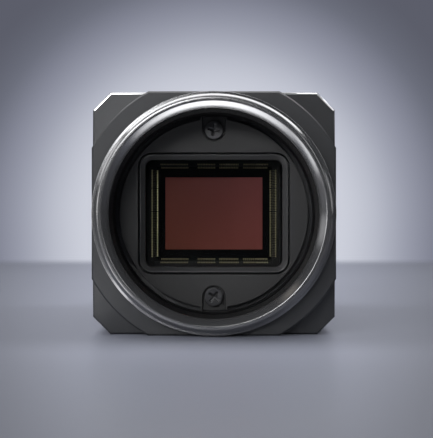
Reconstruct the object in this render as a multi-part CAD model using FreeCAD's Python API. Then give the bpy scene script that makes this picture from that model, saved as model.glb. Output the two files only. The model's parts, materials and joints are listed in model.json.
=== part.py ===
import FreeCAD, Part
import math
import os

from FreeCAD import Vector

os.makedirs("parts", exist_ok=True)

# Machine vision camera: a square metal body with a threaded lens mount at its front.
# Every piece is drawn about the optical axis: x to the right as seen from behind the camera,
# y as depth behind the lens flange, z up. place() then stands the camera on its bottom face.
# All sizes are in millimetres.

# Lens mount ring, turned on the front block. The thread drives the ring, and the ring the body's side.
thread_minor_r = 12.3
ring_wall = 1.7
ring_chamfer_depth = 0.4
mouth_chamfer_depth = 0.85
seal_step = 0.35
seal_step_depth = 1.0
thread_depth = 9.4
throat_relief = 0.25

# Body
body_length = 45.0
ring_to_side = 0.15
corner_cut = 2.1
edge_break = 0.2

# Front block
boss_face_depth = 2.5
boss_overreach = 1.95
land_drop = 1.5
front_block_back = 16.0
retainer_face_depth = 10.0

# Filter window and what holds it
retainer_side_gap = 0.46
retainer_t = 1.2
tab_width = 3.4
retainer_screw_inset = 1.8
screw_pocket_r = 1.44
screw_pocket_depth = 0.65
window_half_x = 8.65
window_half_z = 6.77
window_corner_r = 0.9
window_lip = 0.65
window_lip_depth = 0.6
groove_width = 0.22
frame_flange_x = 0.45
frame_flange_z = 0.8
frame_flange_t = 0.8
filter_t = 1.0
filter_seal_t = 0.3
filter_seal_width = 0.5
filter_pocket_gap = 0.1
web_window_margin = 0.5

# Image sensor
sensor_depth = 17.526
die_half_x = 7.6
die_half_z = 6.15
die_t = 0.3
die_well_gap = 0.12
shelf_rise = 0.08
rim_rise = 0.63
rim_inner_half_x = 8.7
rim_inner_half_z = 7.0
rim_width = 0.6
package_t = 2.1
cover_glass_t = 0.5
cover_glass_inset = 0.2

# Rear housing
side_wall = 2.2
top_wall = 3.7
cavity_corner_cut = 0.9
bulkhead_t = 2.0
bulkhead_window_gap = 0.3
rear_plate_t = 3.0

# Gaskets between the body pieces
front_seal_inset = 3.6
front_seal_width = 0.9
front_seal_t = 0.6
front_seal_cut = 1.0
rear_seal_side_wall = 0.75
rear_seal_top_wall = 0.15
rear_seal_width = 0.6
rear_seal_t = 0.6
rear_seal_cut = 1.0
seal_side_gap = 0.05

# Board stack
board_t = 1.2
board_edge_gap = 0.3
board_corner_cut = 0.8
rear_wiring_room = 5.2
front_gap_share = 0.338
post_inset = 1.4
post_z = 4.5
spacer_flats = 2.4
stack_screw_r = 0.6
stack_screw_grip = 1.1
stack_screw_head_r = 1.1
stack_screw_head_t = 0.9

# Chips and board connectors
processor_side = 11.0
processor_t = 1.4
processor_z = -1.5
memory_width = 7.5
memory_height = 9.6
memory_t = 1.0
memory_pitch = 9.2
memory_z = 5.1
link_length = 14.0
link_width = 3.2
link_z = 8.2
link_wall = 0.7
link_overlap = 1.0
link_gap = 0.1
side_link_length = 9.0
side_link_x = -7.2
side_link_z = -5.0
transformer_width = 9.5
transformer_height = 6.6
transformer_gap_share = 0.55
transformer_x = 1.5
transformer_z = -1.6
inductor_side = 4.6
inductor_t = 3.0
inductor_x = 6.6
inductor_z = 7.2
inductor_cut = 1.0

# Network socket on the rear plate
m12_z = 5.2
m12_barrel_r = 7.25
m12_barrel_length = 7.0
m12_thread_r = 5.5
m12_thread_floor = 1.2
m12_neck_r = 5.0
m12_insert_r = 4.25
m12_insert_recess = 0.8
m12_pair_r = 2.55
m12_pair_pitch = 1.6
m12_contact_flats = 0.8
m12_contact_recess = 0.4
m12_cross_half = 3.5
m12_cross_t = 0.5
m12_cross_depth = 7.5

# Power and signal plug on the rear plate
m8_z = -7.4
m8_flange_r = 4.8
m8_flange_t = 1.2
m8_thread_r = 4.0
m8_length = 7.0
m8_bore_r = 3.35
m8_bore_floor = 2.0
m8_neck_r = 3.4
m8_insert_r = 2.85
m8_insert_face = 2.5
m8_pin_circle_r = 1.6
m8_pin_flats = 0.9
m8_pin_tip_recess = 1.0
m8_pins_round = 4

# Status light
light_x = 9.6
light_z = -7.4
light_r = 1.2
light_stand_out = 0.25
light_gap = 0.2
led_side = 1.6
led_t = 1.0

# Screws
body_screw_inset = 2.05
body_screw_r = 0.75
body_screw_head_r = 1.3
body_screw_head_t = 0.9
body_screw_grip = 4.0
retainer_screw_r = 0.68
retainer_screw_head_r = 1.18
retainer_screw_head_t = 0.6
retainer_screw_grip = 3.0
socket_share = 0.55
cross_share = 0.6
cross_long_share = 0.62
cross_wide_share = 0.13
upper_cross_turn = 12.0
lower_cross_turn = 38.0

# Threaded mounting holes in the body
mount_hole_r = 1.25
mount_hole_depth = 3.0
base_hole_spacing = 20.0
front_hole_depth = 9.0
rear_hole_depth = 31.5

# Clearances
fit_gap = 0.03
insert_gap = 0.05
through_gap = 0.1

# Places worked out from the sizes above
ring_r = thread_minor_r + ring_wall
root_r = ring_r + seal_step
half_side = root_r + ring_to_side
boss_r = half_side + boss_overreach
retainer_r = thread_minor_r - retainer_side_gap
retainer_screw_z = thread_minor_r - retainer_screw_inset
cavity_half_x = half_side - side_wall
cavity_half_z = half_side - top_wall
post_x = cavity_half_x - post_inset
front_seal_half = half_side - front_seal_inset
body_screw_place = half_side - body_screw_inset
land_depth = boss_face_depth + land_drop
web_depth = retainer_face_depth + retainer_t
filter_front = web_depth + frame_flange_t
filter_back = filter_front + filter_t
pocket_floor = filter_back + filter_seal_t
frame_half_x = window_half_x + window_lip
frame_half_z = window_half_z + window_lip
frame_corner_r = window_corner_r + window_lip
filter_half_x = frame_half_x + frame_flange_x
filter_half_z = frame_half_z + frame_flange_z
package_front = sensor_depth - rim_rise
package_back = package_front + package_t
package_half_x = rim_inner_half_x + rim_width
package_half_z = rim_inner_half_z + rim_width
bulkhead_back = front_block_back + bulkhead_t
plate_front = body_length - rear_plate_t
sensor_board_back = package_back + board_t
interface_back = plate_front - rear_wiring_room
interface_front = interface_back - board_t
board_room = interface_front - sensor_board_back - board_t
front_board_gap = board_room * front_gap_share
rear_board_gap = board_room - front_board_gap
processor_front = sensor_board_back + front_board_gap
processor_back = processor_front + board_t
transformer_t = rear_board_gap * transformer_gap_share
board_half_x = cavity_half_x - board_edge_gap
board_half_z = cavity_half_z - board_edge_gap
rear_seal_half_x = cavity_half_x + rear_seal_side_wall + rear_seal_width / 2
rear_seal_half_z = cavity_half_z + rear_seal_top_wall + rear_seal_width / 2
m12_end = body_length + m12_barrel_length
m12_face = m12_end - m12_insert_recess
m8_end = body_length + m8_length
m8_face = body_length + m8_insert_face


def disc(radius, start, end, x=0.0, z=0.0):
    """A round bar along the optical axis."""
    return Part.makeCylinder(radius, end - start, Vector(x, start, z), Vector(0, 1, 0))


def turned(profile, x=0.0, z=0.0):
    """A turned piece: (radius, depth) points swept round an axis at x and z."""
    points = [Vector(x + radius, depth, z) for radius, depth in profile]
    wire = Part.makePolygon(points + [points[0]])
    return Part.Face(wire).revolve(Vector(x, 0, z), Vector(0, 1, 0), 360)


def block(half_x, half_z, start, end, x=0.0, z=0.0):
    """A plain rectangular bar along the optical axis."""
    corner = Vector(x - half_x, start, z - half_z)
    return Part.makeBox(2 * half_x, end - start, 2 * half_z, corner)


def rounded(half_x, half_z, radius, start, end, x=0.0, z=0.0):
    """A rectangular bar with four rounded long edges."""
    bar = block(half_x, half_z, start, end, x, z)
    long_edges = [edge for edge in bar.Edges if abs(edge.BoundBox.YLength - (end - start)) < 1e-6]
    return bar.makeFillet(radius, long_edges)


def cut_corner_bar(half_x, half_z, cut, start, end, x=0.0, z=0.0):
    """A rectangular bar with its four long edges cut off at 45 degrees."""
    outline = []
    for side_x, side_z in ((1, 1), (1, -1), (-1, -1), (-1, 1)):
        pair = [(side_x * (half_x - cut), side_z * half_z), (side_x * half_x, side_z * (half_z - cut))]
        outline += pair if side_x == side_z else pair[::-1]
    points = [Vector(x + at_x, start, z + at_z) for at_x, at_z in outline]
    face = Part.Face(Part.makePolygon(points + [points[0]]))
    return face.extrude(Vector(0, end - start, 0))


def square_bar(start, end):
    """The body's square section with its four cut corners."""
    return cut_corner_bar(half_side, half_side, corner_cut, start, end)


def hexagon(flats, start, end, x=0.0, z=0.0):
    """A hexagonal bar with two flats facing sideways."""
    radius = flats / math.sqrt(3)
    points = []
    for step in range(6):
        angle = math.radians(60 * step + 30)
        points.append(Vector(x + radius * math.cos(angle), start, z + radius * math.sin(angle)))
    face = Part.Face(Part.makePolygon(points + [points[0]]))
    return face.extrude(Vector(0, end - start, 0))


def edges_at(shape, depth):
    """The edges that lie flat at one depth."""
    found = []
    for edge in shape.Edges:
        box = edge.BoundBox
        if abs(box.YMin - depth) < 1e-6 and abs(box.YMax - depth) < 1e-6:
            found.append(edge)
    return found


def posts():
    """The two places, one on each side of the cavity, where the board stack is held."""
    return [(post_x, post_z), (-post_x, -post_z)]


def corners(place):
    """The four places at the same distance to each side of the axis and above and below it."""
    return [(place, place), (-place, place), (-place, -place), (place, -place)]


def screw(x, z, seat, into, head_r, head_t, shank_r, grip):
    """A screw under its seat plane, with into as +1 or -1 for the way its shank points."""
    profile = [
        (0, seat - into * head_t),
        (head_r, seat - into * head_t),
        (head_r, seat),
        (shank_r, seat),
        (shank_r, seat + into * grip),
        (0, seat + into * grip),
    ]
    return turned(profile, x, z)


def hex_socket(x, z, seat, into, head_r, head_t):
    """The drive hole of a socket screw."""
    top = seat - into * head_t
    floor = top + into * head_t * socket_share
    return hexagon(head_r, min(top, floor), max(top, floor), x, z)


def cross_recess(x, z, top, head_r, head_t, turn):
    """The cross-shaped drive recess of a small screw that faces the front."""
    depth = head_t * cross_share
    half_long = head_r * cross_long_share
    half_wide = head_r * cross_wide_share
    arm = block(half_long, half_wide, top, top + depth, x, z)
    other = block(half_wide, half_long, top, top + depth, x, z)
    recess = arm.fuse(other)
    recess.rotate(Vector(x, 0, z), Vector(0, 1, 0), turn)
    return recess


def base_holes(depth):
    """A pair of threaded mounting holes in the bottom face at one depth behind the flange."""
    places = [Vector(x, depth, -half_side) for x in (-base_hole_spacing / 2, base_hole_spacing / 2)]
    return [Part.makeCylinder(mount_hole_r, mount_hole_depth, place, Vector(0, 0, 1)) for place in places]


def lens_ring():
    """The turned ring that carries the lens flange, with a wider seal step at its root."""
    profile = [
        (thread_minor_r, mouth_chamfer_depth),
        (thread_minor_r + mouth_chamfer_depth, 0),
        (ring_r - ring_chamfer_depth, 0),
        (ring_r, ring_chamfer_depth),
        (ring_r, seal_step_depth),
        (root_r, seal_step_depth),
        (root_r, boss_face_depth),
        (thread_minor_r, boss_face_depth),
    ]
    return turned(profile)


def front_boss():
    """The round face of the front block, cut off by the body's four flat sides."""
    bar = square_bar(boss_face_depth, land_depth)
    boss = bar.common(disc(boss_r, boss_face_depth, land_depth))
    return boss.makeChamfer(edge_break, edges_at(boss, boss_face_depth))


def front_housing():
    """Front block: lens ring, boss, corner lands, throat, filter pocket and mounting holes."""
    solid = square_bar(land_depth, front_block_back)
    solid = solid.makeChamfer(edge_break, edges_at(solid, front_block_back))
    solid = solid.fuse([front_boss(), lens_ring()]).removeSplitter()
    cuts = [disc(thread_minor_r, -1, thread_depth)]
    cuts.append(disc(thread_minor_r + throat_relief, thread_depth, web_depth))
    cuts.append(filter_bar(filter_pocket_gap, web_depth - 1, pocket_floor))
    open_x = window_half_x + web_window_margin
    open_z = window_half_z + web_window_margin
    cuts.append(block(open_x, open_z, web_depth, front_block_back + 1))
    for side in (-1, 1):
        z = side * retainer_screw_z
        end = web_depth - retainer_t + screw_pocket_depth + retainer_screw_grip + through_gap
        cuts.append(disc(retainer_screw_r + fit_gap, web_depth - 1, end, 0, z))
    for x, z in corners(body_screw_place):
        start = front_block_back - body_screw_grip - through_gap
        cuts.append(disc(body_screw_r + fit_gap, start, front_block_back + 1, x, z))
    cuts += base_holes(front_hole_depth)
    return solid.cut(cuts)


def filter_bar(grow, start, end):
    """The outline shared by the filter glass, its gasket, the frame's flange and their pocket."""
    cut = frame_corner_r + grow * (2 - math.sqrt(2))
    return cut_corner_bar(filter_half_x + grow, filter_half_z + grow, cut, start, end)


def filter_retainer():
    """Round plate with two tabs, a window hole and a pocket round each screw."""
    plate = disc(retainer_r, retainer_face_depth, web_depth)
    tab_half_z = thread_minor_r - insert_gap
    tabs = block(tab_width / 2, tab_half_z, retainer_face_depth, web_depth)
    tabs = tabs.common(disc(thread_minor_r - insert_gap, retainer_face_depth, web_depth))
    plate = plate.fuse(tabs).removeSplitter()
    hole_x = frame_half_x + groove_width
    hole_z = frame_half_z + groove_width
    hole_r = frame_corner_r + groove_width
    cuts = [rounded(hole_x, hole_z, hole_r, retainer_face_depth - 1, web_depth + 1)]
    floor = retainer_face_depth + screw_pocket_depth
    for side in (-1, 1):
        z = side * retainer_screw_z
        out = block(screw_pocket_r, screw_pocket_r, retainer_face_depth - 1, floor, 0, z + side * screw_pocket_r)
        cuts.append(disc(screw_pocket_r, retainer_face_depth - 1, floor, 0, z).fuse(out))
        cuts.append(disc(retainer_screw_r + through_gap, floor - 1, web_depth + 1, 0, z))
    return plate.cut(cuts)


def retainer_screws():
    """Two small cross-head screws that hold the retainer plate."""
    seat = retainer_face_depth + screw_pocket_depth
    solids = []
    for side, turn in ((1, upper_cross_turn), (-1, lower_cross_turn)):
        z = side * retainer_screw_z
        body = screw(0, z, seat, 1, retainer_screw_head_r, retainer_screw_head_t,
                     retainer_screw_r, retainer_screw_grip)
        top = seat - retainer_screw_head_t
        solids.append(body.cut(cross_recess(0, z, top, retainer_screw_head_r, retainer_screw_head_t, turn)))
    return Part.makeCompound(solids)


def window_frame():
    """Moulded frame with a bevelled lip in front and a clamped flange behind."""
    lip = rounded(frame_half_x, frame_half_z, frame_corner_r, retainer_face_depth, web_depth)
    flange = filter_bar(0, web_depth, filter_front)
    solid = lip.fuse(flange)
    hole = rounded(window_half_x, window_half_z, window_corner_r, retainer_face_depth - 1, filter_front + 1)
    return solid.cut([hole, window_bevel()])


def window_bevel():
    """The tapered cut that leaves the frame's lip as a narrow ridge."""
    ridge = groove_width / 2
    wide = window_outline(window_lip - ridge, retainer_face_depth)
    narrow = window_outline(0, retainer_face_depth + window_lip_depth)
    return Part.makeLoft([wide, narrow], True, True)


def window_outline(grow, depth):
    """The window's rounded outline, grown evenly, as a wire at one depth."""
    bar = rounded(window_half_x + grow, window_half_z + grow, window_corner_r + grow, depth, depth + 1)
    return Part.Wire(Part.__sortEdges__(edges_at(bar, depth)))


def filter_window():
    """Flat filter glass."""
    return filter_bar(0, filter_front, filter_back)


def filter_seal():
    """Thin gasket on the ledge under the filter glass."""
    outer = filter_bar(0, filter_back, pocket_floor)
    inner_x = filter_half_x - filter_seal_width
    inner_z = filter_half_z - filter_seal_width
    return outer.cut(block(inner_x, inner_z, filter_back - 1, pocket_floor + 1))


def sensor_package():
    """Ceramic package with a raised rim, a bond shelf and a well for the die."""
    body = block(package_half_x, package_half_z, package_front, package_back)
    shelf = sensor_depth - shelf_rise
    rim = block(rim_inner_half_x, rim_inner_half_z, package_front - 1, shelf)
    well_x = die_half_x + die_well_gap
    well_z = die_half_z + die_well_gap
    return body.cut([rim, block(well_x, well_z, shelf - 1, sensor_depth + die_t)])


def sensor_die():
    """Silicon die, with its light-sensitive face at the lens mount's focal distance."""
    return block(die_half_x, die_half_z, sensor_depth, sensor_depth + die_t)


def sensor_cover_glass():
    """Lid glass on the rim of the sensor package."""
    half_x = package_half_x - cover_glass_inset
    half_z = package_half_z - cover_glass_inset
    return block(half_x, half_z, package_front - cover_glass_t, package_front)


def seal_ring(half_x, half_z, cut, width, start, end):
    """A gasket of rectangular section round a rectangle with cut corners, width wide all round."""
    grow = width / 2
    cut_grow = grow * (2 - math.sqrt(2))
    outer = cut_corner_bar(half_x + grow, half_z + grow, cut + cut_grow, start, end)
    return outer.cut(cut_corner_bar(half_x - grow, half_z - grow, cut - cut_grow, start - 1, end + 1))


def front_seal():
    """Gasket between the front block and the rear housing."""
    return seal_ring(front_seal_half, front_seal_half, front_seal_cut,
                     front_seal_width - 2 * seal_side_gap, front_block_back, front_block_back + front_seal_t)


def rear_seal():
    """Gasket between the rear housing and the rear plate."""
    return seal_ring(rear_seal_half_x, rear_seal_half_z, rear_seal_cut,
                     rear_seal_width - 2 * seal_side_gap, plate_front, plate_front + rear_seal_t)


def main_housing():
    """Rear housing: a square tube with a bulkhead at its front end."""
    solid = square_bar(front_block_back, plate_front)
    ends = edges_at(solid, front_block_back) + edges_at(solid, plate_front)
    solid = solid.makeChamfer(edge_break, ends)
    cuts = [cut_corner_bar(cavity_half_x, cavity_half_z, cavity_corner_cut, bulkhead_back, plate_front + 1)]
    open_x = package_half_x + bulkhead_window_gap
    open_z = package_half_z + bulkhead_window_gap
    cuts.append(block(open_x, open_z, front_block_back - 1, bulkhead_back + 1))
    cuts.append(seal_ring(front_seal_half, front_seal_half, front_seal_cut,
                          front_seal_width, front_block_back, front_block_back + front_seal_t))
    for x, z in posts():
        start = bulkhead_back - stack_screw_grip - through_gap
        cuts.append(disc(stack_screw_r + fit_gap, start, bulkhead_back + 1, x, z))
    for x, z in corners(body_screw_place):
        cuts.append(body_screw_hole(front_block_back, plate_front, x, z))
    cuts += base_holes(rear_hole_depth)
    return solid.cut(cuts)


def circuit_board(start):
    """A circuit board across the housing's cavity, with a hole for each post."""
    board = cut_corner_bar(board_half_x, board_half_z, board_corner_cut, start, start + board_t)
    return board.cut([post_hole(start, start + board_t, x, z) for x, z in posts()])


def post_hole(start, end, x, z):
    """The clearance hole for a stack screw."""
    return disc(stack_screw_r + through_gap, start - 1, end + 1, x, z)


def sensor_board():
    """Board behind the sensor package."""
    return circuit_board(package_back)


def processor_board():
    """Middle board with the image processor and its memory."""
    return circuit_board(processor_front)


def interface_board():
    """Rear board that both rear connectors are soldered to."""
    return circuit_board(interface_front)


def spacers(start, end):
    """Hexagonal spacers round the two stack screws."""
    solids = []
    for x, z in posts():
        solids.append(hexagon(spacer_flats, start, end, x, z).cut(post_hole(start, end, x, z)))
    return Part.makeCompound(solids)


def sensor_board_spacers():
    """Spacers from the bulkhead to the sensor board."""
    return spacers(bulkhead_back, package_back)


def processor_board_spacers():
    """Spacers from the sensor board to the processor board."""
    return spacers(sensor_board_back, processor_front)


def interface_board_spacers():
    """Spacers from the processor board to the interface board."""
    return spacers(processor_back, interface_front)


def stack_screws():
    """Two long screws that clamp the boards and spacers to the bulkhead."""
    grip = interface_back - bulkhead_back + stack_screw_grip
    solids = []
    for x, z in posts():
        body = screw(x, z, interface_back, -1, stack_screw_head_r, stack_screw_head_t, stack_screw_r, grip)
        socket = hex_socket(x, z, interface_back, -1, stack_screw_head_r, stack_screw_head_t)
        solids.append(body.cut(socket))
    return Part.makeCompound(solids)


def image_processor():
    """Square processor chip on the front of the middle board."""
    half = processor_side / 2
    return block(half, half, processor_front - processor_t, processor_front, 0, processor_z)


def memory_chips():
    """Two memory chips on the back of the middle board."""
    solids = []
    for side in (-1, 1):
        x = side * memory_pitch / 2
        solids.append(block(memory_width / 2, memory_height / 2, processor_back,
                            processor_back + memory_t, x, memory_z))
    return Part.makeCompound(solids)


def link_header(half_x, half_z, start, end, x, z):
    """Board connector half whose tongue reaches into the other half."""
    body = block(half_x, half_z, start, end, x, z)
    tongue_x = half_x - link_wall - link_gap
    tongue_z = half_z - link_wall - link_gap
    tongue = block(tongue_x, tongue_z, end, end + link_overlap, x, z)
    return body.fuse(tongue).removeSplitter()


def link_socket(half_x, half_z, start, end, x, z):
    """Board connector half with a slot for the tongue."""
    body = block(half_x, half_z, start, end, x, z)
    slot = block(half_x - link_wall, half_z - link_wall, start - 1, start + link_overlap + link_gap, x, z)
    return body.cut(slot)


def sensor_board_header():
    """Connector on the back of the sensor board."""
    middle = sensor_board_back + front_board_gap / 2
    return link_header(link_length / 2, link_width / 2, sensor_board_back, middle, 0, link_z)


def processor_board_socket():
    """Connector on the front of the middle board."""
    middle = sensor_board_back + front_board_gap / 2
    return link_socket(link_length / 2, link_width / 2, middle, processor_front, 0, link_z)


def interface_header():
    """Connector on the back of the middle board."""
    middle = processor_back + rear_board_gap / 2
    return link_header(link_width / 2, side_link_length / 2, processor_back, middle, side_link_x, side_link_z)


def interface_socket():
    """Connector on the front of the rear board."""
    middle = processor_back + rear_board_gap / 2
    return link_socket(link_width / 2, side_link_length / 2, middle, interface_front,
                       side_link_x, side_link_z)


def network_transformer():
    """Isolating transformer block on the front of the rear board."""
    return block(transformer_width / 2, transformer_height / 2, interface_front - transformer_t,
                 interface_front, transformer_x, transformer_z)


def power_inductor():
    """Power inductor on the front of the rear board."""
    half = inductor_side / 2
    return cut_corner_bar(half, half, inductor_cut, interface_front - inductor_t,
                          interface_front, inductor_x, inductor_z)


def rear_plate():
    """Rear plate with the two connector holes, the light hole and the screw holes."""
    solid = square_bar(plate_front, body_length)
    ends = edges_at(solid, plate_front) + edges_at(solid, body_length)
    solid = solid.makeChamfer(edge_break, ends)
    cuts = [disc(m12_neck_r + fit_gap, plate_front - 1, body_length + 1, 0, m12_z)]
    cuts.append(disc(m8_neck_r + fit_gap, plate_front - 1, body_length + 1, 0, m8_z))
    cuts.append(disc(light_r + insert_gap, plate_front - 1, body_length + 1, light_x, light_z))
    cuts.append(seal_ring(rear_seal_half_x, rear_seal_half_z, rear_seal_cut,
                          rear_seal_width, plate_front, plate_front + rear_seal_t))
    for x, z in corners(body_screw_place):
        cuts.append(body_screw_hole(plate_front, body_length, x, z))
    return solid.cut(cuts)


def body_screw_hole(start, end, x, z):
    """The clearance hole for a body screw."""
    return disc(body_screw_r + through_gap, start - 1, end + 1, x, z)


def body_screws():
    """Four long socket screws from the rear plate through the housing into the front block."""
    grip = body_length - front_block_back + body_screw_grip
    solids = []
    for x, z in corners(body_screw_place):
        body = screw(x, z, body_length, -1, body_screw_head_r, body_screw_head_t, body_screw_r, grip)
        solids.append(body.cut(hex_socket(x, z, body_length, -1, body_screw_head_r, body_screw_head_t)))
    return Part.makeCompound(solids)


def m12_contact_places():
    """Centres of the eight network contacts: four pairs, one in each quarter."""
    places = []
    for quarter in range(4):
        angle = math.radians(45 + 90 * quarter)
        for side in (-1, 1):
            shift = side * m12_pair_pitch / 2
            x = m12_pair_r * math.cos(angle) - shift * math.sin(angle)
            z = m12_pair_r * math.sin(angle) + shift * math.cos(angle)
            places.append((x, m12_z + z))
    return places


def m12_shell():
    """Round metal barrel of the network socket, with its neck in the rear plate."""
    inner_r = m12_insert_r + insert_gap
    profile = [
        (inner_r, plate_front),
        (m12_neck_r, plate_front),
        (m12_neck_r, body_length),
        (m12_barrel_r, body_length),
        (m12_barrel_r, m12_end),
        (m12_thread_r, m12_end),
        (m12_thread_r, body_length + m12_thread_floor),
        (inner_r, body_length + m12_thread_floor),
    ]
    return turned(profile, 0, m12_z)


def m12_insert():
    """Plastic insert of the network socket, with a slot for the shield cross."""
    cuts = [m12_cross(insert_gap)]
    for x, z in m12_contact_places():
        cuts.append(hexagon(m12_contact_flats + 2 * insert_gap, plate_front - 1, m12_face + 1, x, z))
    return disc(m12_insert_r, plate_front, m12_face, 0, m12_z).cut(cuts)


def m12_cross(grow):
    """The cross of two thin plates that shields the four contact pairs."""
    start = m12_face - m12_cross_depth - grow
    half_long = m12_cross_half + grow
    half_thin = m12_cross_t / 2 + grow
    upright = block(half_thin, half_long, start, m12_face + grow, 0, m12_z)
    flat = block(half_long, half_thin, start, m12_face + grow, 0, m12_z)
    return upright.fuse(flat).removeSplitter()


def m12_shield_cross():
    """Metal shield cross of the network socket."""
    return m12_cross(0)


def m12_contacts():
    """Eight network contacts, from the rear board to just under the insert's face."""
    end = m12_face - m12_contact_recess
    return Part.makeCompound([hexagon(m12_contact_flats, interface_back, end, x, z)
                              for x, z in m12_contact_places()])


def m8_pin_places():
    """Centres of the power plug's pins, evenly round its axis."""
    places = []
    for step in range(m8_pins_round):
        angle = math.radians(45 + 360 * step / m8_pins_round)
        places.append((m8_pin_circle_r * math.cos(angle), m8_z + m8_pin_circle_r * math.sin(angle)))
    return places


def m8_shell():
    """Metal shell of the power plug, with its neck in the rear plate."""
    inner_r = m8_insert_r + insert_gap
    flange_end = body_length + m8_flange_t
    profile = [
        (inner_r, plate_front),
        (m8_neck_r, plate_front),
        (m8_neck_r, body_length),
        (m8_flange_r, body_length),
        (m8_flange_r, flange_end),
        (m8_thread_r, flange_end),
        (m8_thread_r, m8_end),
        (m8_bore_r, m8_end),
        (m8_bore_r, body_length + m8_bore_floor),
        (inner_r, body_length + m8_bore_floor),
    ]
    return turned(profile, 0, m8_z)


def m8_insert():
    """Plastic insert that holds the power plug's pins."""
    flats = m8_pin_flats + 2 * insert_gap
    holes = [hexagon(flats, plate_front - 1, m8_face + 1, x, z) for x, z in m8_pin_places()]
    return disc(m8_insert_r, plate_front, m8_face, 0, m8_z).cut(holes)


def m8_pins():
    """Pins of the power plug, from the rear board to just inside the shell's rim."""
    tip = m8_end - m8_pin_tip_recess
    return Part.makeCompound([hexagon(m8_pin_flats, interface_back, tip, x, z)
                              for x, z in m8_pin_places()])


def status_led():
    """Small light on the back of the rear board."""
    half = led_side / 2
    return block(half, half, interface_back, interface_back + led_t, light_x, light_z)


def status_light_pipe():
    """Clear rod that carries the status light through the rear plate."""
    start = interface_back + led_t + light_gap
    return disc(light_r, start, body_length + light_stand_out, light_x, light_z)


def place(shape):
    """Moves a piece so that the origin is the middle of the camera's bottom face."""
    shape.translate(Vector(0, -body_length / 2, half_side))
    return shape


pieces = {
    "front_housing": front_housing,
    "filter_retainer": filter_retainer,
    "retainer_screws": retainer_screws,
    "window_frame": window_frame,
    "filter_window": filter_window,
    "filter_seal": filter_seal,
    "sensor_package": sensor_package,
    "sensor_die": sensor_die,
    "sensor_cover_glass": sensor_cover_glass,
    "front_seal": front_seal,
    "main_housing": main_housing,
    "sensor_board": sensor_board,
    "sensor_board_spacers": sensor_board_spacers,
    "processor_board_spacers": processor_board_spacers,
    "processor_board": processor_board,
    "image_processor": image_processor,
    "memory_chips": memory_chips,
    "sensor_board_header": sensor_board_header,
    "processor_board_socket": processor_board_socket,
    "interface_board_spacers": interface_board_spacers,
    "interface_board": interface_board,
    "interface_header": interface_header,
    "interface_socket": interface_socket,
    "network_transformer": network_transformer,
    "power_inductor": power_inductor,
    "stack_screws": stack_screws,
    "rear_plate": rear_plate,
    "rear_seal": rear_seal,
    "body_screws": body_screws,
    "m12_shell": m12_shell,
    "m12_insert": m12_insert,
    "m12_shield_cross": m12_shield_cross,
    "m12_contacts": m12_contacts,
    "m8_shell": m8_shell,
    "m8_insert": m8_insert,
    "m8_pins": m8_pins,
    "status_led": status_led,
    "status_light_pipe": status_light_pipe,
}

for name, build in pieces.items():
    solid = place(build())
    solid.exportStep("parts/" + name + ".step")
    print(name, "solids", len(solid.Solids), "valid", solid.isValid(), "volume", round(solid.Volume, 2))
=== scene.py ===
"""Dresses the machine vision camera: its turned lens ring, milled body, filter window and image sensor.

Shapes are worked in millimetres in the optical frame: x to the right, y as depth behind the lens flange,
z up from the optical axis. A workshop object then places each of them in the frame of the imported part.
"""

import json
import logging
import math
from collections.abc import Callable, Iterable, Sequence
from dataclasses import dataclass, field
from enum import Enum

import bmesh
import bpy
from mathutils import Matrix, Vector

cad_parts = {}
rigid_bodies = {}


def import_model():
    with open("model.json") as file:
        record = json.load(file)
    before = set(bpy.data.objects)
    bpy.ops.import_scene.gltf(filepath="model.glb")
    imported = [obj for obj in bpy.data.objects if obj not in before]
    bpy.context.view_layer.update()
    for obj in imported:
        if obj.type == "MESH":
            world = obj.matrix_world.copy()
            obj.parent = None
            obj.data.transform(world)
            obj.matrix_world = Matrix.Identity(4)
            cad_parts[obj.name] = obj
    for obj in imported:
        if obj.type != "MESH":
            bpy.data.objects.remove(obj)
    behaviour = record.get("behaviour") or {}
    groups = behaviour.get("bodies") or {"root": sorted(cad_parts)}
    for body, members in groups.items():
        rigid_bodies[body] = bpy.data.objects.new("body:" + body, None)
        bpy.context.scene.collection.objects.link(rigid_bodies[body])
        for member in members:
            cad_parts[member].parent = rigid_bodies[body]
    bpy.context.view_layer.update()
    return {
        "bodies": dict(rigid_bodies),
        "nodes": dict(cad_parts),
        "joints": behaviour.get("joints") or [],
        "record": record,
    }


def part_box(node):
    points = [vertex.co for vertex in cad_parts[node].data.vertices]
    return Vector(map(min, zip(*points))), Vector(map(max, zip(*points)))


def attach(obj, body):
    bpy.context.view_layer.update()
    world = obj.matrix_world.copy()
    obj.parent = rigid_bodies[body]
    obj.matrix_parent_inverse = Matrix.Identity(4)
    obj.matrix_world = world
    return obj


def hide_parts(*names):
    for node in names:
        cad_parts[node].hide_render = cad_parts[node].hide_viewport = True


LOG = logging.getLogger("camera")
MM = 0.001
NEAR = 0.01
FINISH_MARK = "_finish"

Triple = tuple[float, float, float]
Colour = Triple
Section = list[tuple[float, float]]
Verts = list[bmesh.types.BMVert]


class Metalness(Enum):
    """How much of a surface's shine is metal."""

    NONE = 0.0
    ANODISED = 0.35
    TURNED = 0.85
    BARE = 1.0


class BlockFace(Enum):
    """The front block's finishes, by the material numbers of its faces, with painted shade in the throat and a
    painted highlight on the upper rims of the corner lands.
    """

    MILLED = 0
    TURNED = 1
    # Painted shade in the throat and on the thread.
    THROAT_SHADE = 2
    # Painted highlight on the upward-facing rim chamfers of the corner lands.
    PAINTED_HIGHLIGHT = 3


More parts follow.
